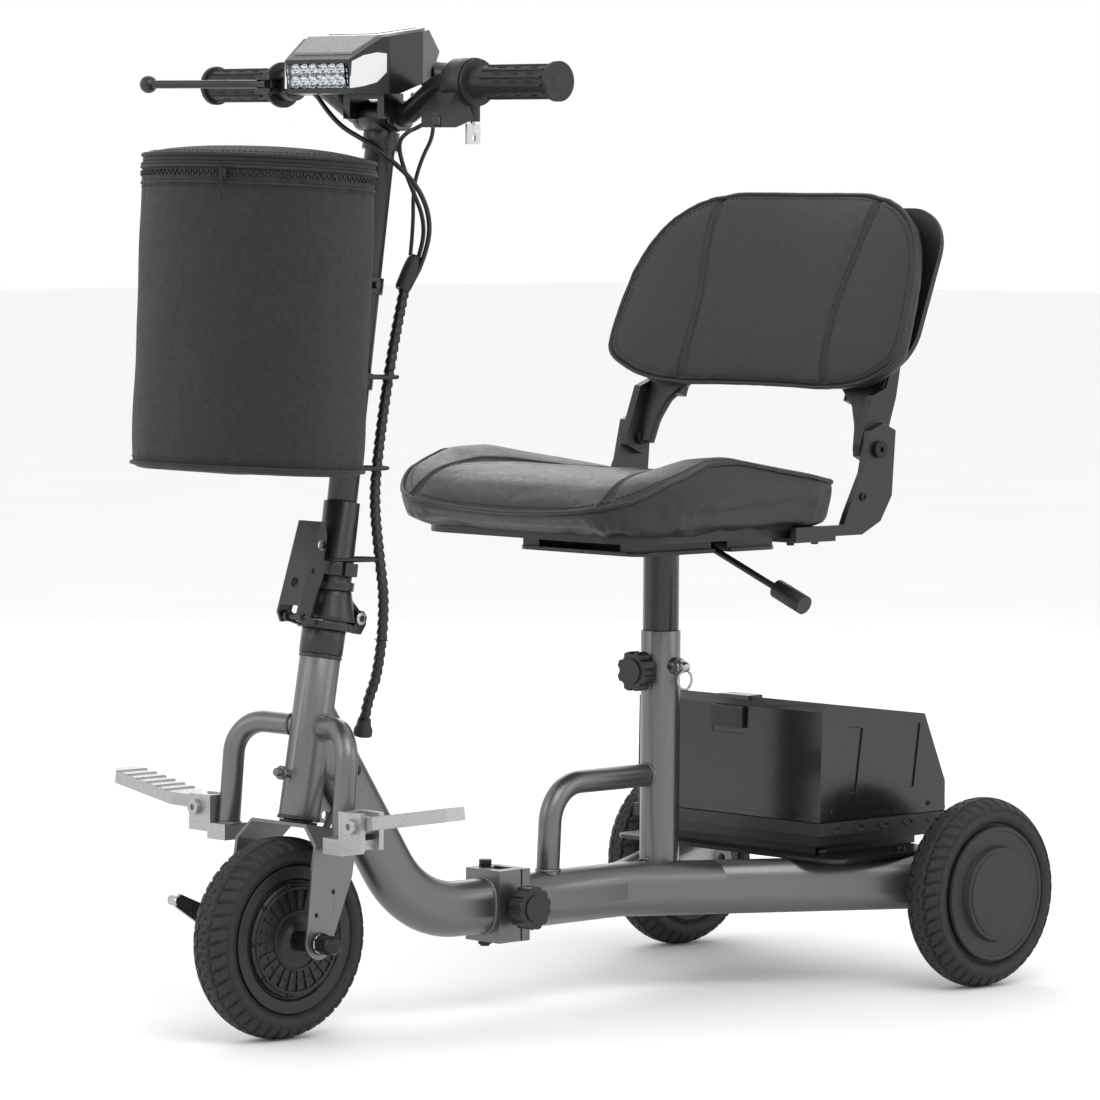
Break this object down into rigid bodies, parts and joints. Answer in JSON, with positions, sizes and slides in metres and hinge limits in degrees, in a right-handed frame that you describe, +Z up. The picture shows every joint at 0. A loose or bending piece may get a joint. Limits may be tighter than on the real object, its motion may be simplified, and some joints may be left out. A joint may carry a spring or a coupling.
{
  "type": "mobility scooter",
  "caption": "Folding three-wheeled mobility scooter with a swivelling padded seat, front hub motor, rear battery box, folding foot pegs and a zipped front bag.",
  "frame": {"origin": "on the ground under the middle of the scooter's length and width", "axes": "-Y forwards, +X to the rider's left, +Z up"},
  "size_m": [0.5176, 1.0396, 0.993],
  "materials": {
    "frame_paint": "satin metallic",
    "black_paint": "satin",
    "fork_paint": "satin metallic",
    "steel": "zinc plated",
    "peg_metal": "cast satin",
    "tyre": "matte",
    "rim_plastic": "moulded",
    "motor_shell": "satin",
    "black_plastic": "fine grain",
    "gloss_black": "gloss",
    "rubber": "matte",
    "vinyl": "satin vinyl",
    "bag_fabric": "woven",
    "lens": "clear",
    "cable": "satin"
  },
  "bodies": {
    "rear": {"rear_frame": "frame_paint", "brace_tube": "frame_paint", "rear_beams": "frame_paint", "rear_bolts": "steel", "rack_plate": "black_paint", "battery_tray": "black_plastic", "battery_pack": "black_plastic"},
    "battery_box": {"battery_case": "gloss_black"},
    "case_latch": {"battery_latch": "black_plastic"},
    "wheel_rear_left": {"rear_left_tyre": "tyre", "rear_left_rim": "rim_plastic"},
    "wheel_rear_right": {"rear_right_tyre": "tyre", "rear_right_rim": "rim_plastic"},
    "post": {"seat_post": "black_paint"},
    "post_knob": {"post_knob": "black_plastic"},
    "post_pin": {"post_pin": "steel", "pin_tip": "steel"},
    "seat": {"swivel_plate": "black_paint", "seat_pan": "black_plastic", "seat_cushion": "vinyl", "seat_brackets": "black_paint", "backrest_pivots": "steel"},
    "seat_lever": {"seat_lever": "black_paint", "seat_lever_grip": "black_plastic"},
    "backrest": {"backrest_frame": "black_plastic", "backrest_pad": "vinyl"},
    "front": {"front_frame": "frame_paint", "headset_cups": "black_paint", "peg_brackets": "peg_metal", "loom_lower": "cable"},
    "clamp_knob": {"clamp_knob": "black_plastic"},
    "peg_left": {"peg_left": "peg_metal"},
    "peg_right": {"peg_right": "peg_metal"},
    "steering": {"fork": "fork_paint", "headset_collar": "black_paint", "latch_base": "black_paint", "front_axle": "steel", "brake_plate": "motor_shell"},
    "wheel_front": {"front_tyre": "tyre", "front_rim": "motor_shell"},
    "brake_arm": {"brake_arm": "steel"},
    "latch_lever": {"latch_lever": "black_paint"},
    "latch_link": {"latch_link": "steel"},
    "stem": {"stem_lower": "black_paint", "loom_upper": "cable"},
    "bars": {"stem_upper": "black_paint", "handlebar": "black_paint", "right_grip": "rubber", "throttle_housing": "black_plastic", "brake_perch": "black_paint", "lamp_housing": "gloss_black", "lamp_lens": "lens", "bag": "bag_fabric", "bag_bracket": "black_paint", "bar_cables": "cable"},
    "throttle": {"throttle_grip": "rubber"},
    "thumb_switch": {"thumb_switch": "gloss_black"},
    "key": {"key": "steel"},
    "brake_lever": {"brake_lever": "black_paint"},
    "bag_lid": {"bag_lid": "bag_fabric"}
  },
  "joints": [
    {"name": "frame_fold", "type": "hinge", "parent": "rear", "child": "front", "pos_m": [-0.019, -0.0695, 0.108], "axis": [0, 0, -1], "range_deg": [0, 90]},
    {"name": "clamp_knob_turn", "type": "hinge", "parent": "rear", "child": "clamp_knob", "pos_m": [0.036, -0.0685, 0.108], "axis": [1, 0, 0], "range_deg": [0, 360]},
    {"name": "steering_turn", "type": "hinge", "parent": "front", "child": "steering", "pos_m": [0, -0.3613, 0.1], "axis": [0, 0.1736, 0.9848], "range_deg": [-45, 45], "deforming": ["loom_lower"]},
    {"name": "front_wheel_spin", "type": "hinge", "parent": "steering", "child": "wheel_front", "pos_m": [0, -0.366, 0.1], "axis": [1, 0, 0], "continuous": true},
    {"name": "rear_left_spin", "type": "hinge", "parent": "rear", "child": "wheel_rear_left", "pos_m": [0.2223, 0.42, 0.1], "axis": [1, 0, 0], "continuous": true},
    {"name": "rear_right_spin", "type": "hinge", "parent": "rear", "child": "wheel_rear_right", "pos_m": [-0.2223, 0.42, 0.1], "axis": [1, 0, 0], "continuous": true},
    {"name": "left_peg_fold", "type": "hinge", "parent": "front", "child": "peg_left", "pos_m": [0.116, -0.359, 0.2204], "axis": [0, -1, 0], "range_deg": [0, 70]},
    {"name": "right_peg_fold", "type": "hinge", "parent": "front", "child": "peg_right", "pos_m": [-0.116, -0.359, 0.2204], "axis": [0, 1, 0], "range_deg": [0, 70]},
    {"name": "latch_open", "type": "hinge", "parent": "steering", "child": "latch_lever", "pos_m": [0, -0.34755, 0.41642], "axis": [1, 0, 0], "range_deg": [0, 50]},
    {"name": "latch_link_swing", "type": "hinge", "parent": "latch_lever", "child": "latch_link", "pos_m": [0, -0.33505, 0.46092], "axis": [1, 0, 0], "range_deg": [0, 25]},
    {"name": "stem_fold", "type": "hinge", "parent": "steering", "child": "stem", "pos_m": [0, -0.27398, 0.41096], "axis": [1, 0, 0], "range_deg": [-36, 0], "deforming": ["loom_upper"]},
    {"name": "stem_telescope", "type": "slide", "parent": "stem", "child": "bars", "axis": [0, 0.1392, 0.9903], "range_m": [0, 0.06]},
    {"name": "throttle_twist", "type": "hinge", "parent": "bars", "child": "throttle", "pos_m": [0.2, -0.234, 0.94], "axis": [-1, 0, 0], "range_deg": [0, 60], "stiffness_Nm_per_rad": 0.3},
    {"name": "thumb_switch_press", "type": "slide", "parent": "bars", "child": "thumb_switch", "axis": [0, 1, 0], "range_m": [0, 0.0015], "stiffness_N_per_m": 400},
    {"name": "key_turn", "type": "hinge", "parent": "bars", "child": "key", "pos_m": [0.124, -0.226, 0.9], "axis": [0, 0, 1], "range_deg": [0, 90]},
    {"name": "brake_lever_pull", "type": "hinge", "parent": "bars", "child": "brake_lever", "pos_m": [-0.128, -0.27, 0.94], "axis": [0, 0, -1], "range_deg": [0, 16], "stiffness_Nm_per_rad": 3},
    {"name": "brake_arm_turn", "type": "hinge", "parent": "steering", "child": "brake_arm", "pos_m": [-0.05, -0.402, 0.116], "axis": [1, 0, 0], "range_deg": [-20, 0]},
    {"name": "bag_lid_open", "type": "hinge", "parent": "bars", "child": "bag_lid", "pos_m": [0, -0.28399, 0.84832], "axis": [-1, 0, 0], "range_deg": [0, 35]},
    {"name": "seat_height", "type": "slide", "parent": "rear", "child": "post", "axis": [0, 0, 1], "range_m": [0, 0.05]},
    {"name": "post_knob_turn", "type": "hinge", "parent": "rear", "child": "post_knob", "pos_m": [0, 0.134, 0.335], "axis": [0, -1, 0], "range_deg": [0, 360]},
    {"name": "lock_pin_pull", "type": "slide", "parent": "rear", "child": "post_pin", "axis": [1, 0, 0], "range_m": [0, 0.012], "stiffness_N_per_m": 300},
    {"name": "seat_swivel", "type": "hinge", "parent": "post", "child": "seat", "pos_m": [0, 0.164, 0.465], "axis": [0, 0, 1], "range_deg": [0, 180]},
    {"name": "seat_lever_lift", "type": "hinge", "parent": "seat", "child": "seat_lever", "pos_m": [0.047, 0.164, 0.4713], "axis": [0, -1, 0], "range_deg": [0, 8]},
    {"name": "backrest_fold", "type": "hinge", "parent": "seat", "child": "backrest", "pos_m": [0.18, 0.2975, 0.5687], "axis": [1, 0, 0], "range_deg": [0, 75]},
    {"name": "battery_lift", "type": "slide", "parent": "rear", "child": "battery_box", "axis": [0, 0, 1], "range_m": [0, 0.13]},
    {"name": "case_latch_slide", "type": "slide", "parent": "battery_box", "child": "case_latch", "axis": [0, 0, -1], "range_m": [0, 0.005], "stiffness_N_per_m": 200}
  ],
  "couplings": [
    {"joint": "brake_arm_turn", "follows": "brake_lever_pull", "ratio": -1.25}
  ]
}
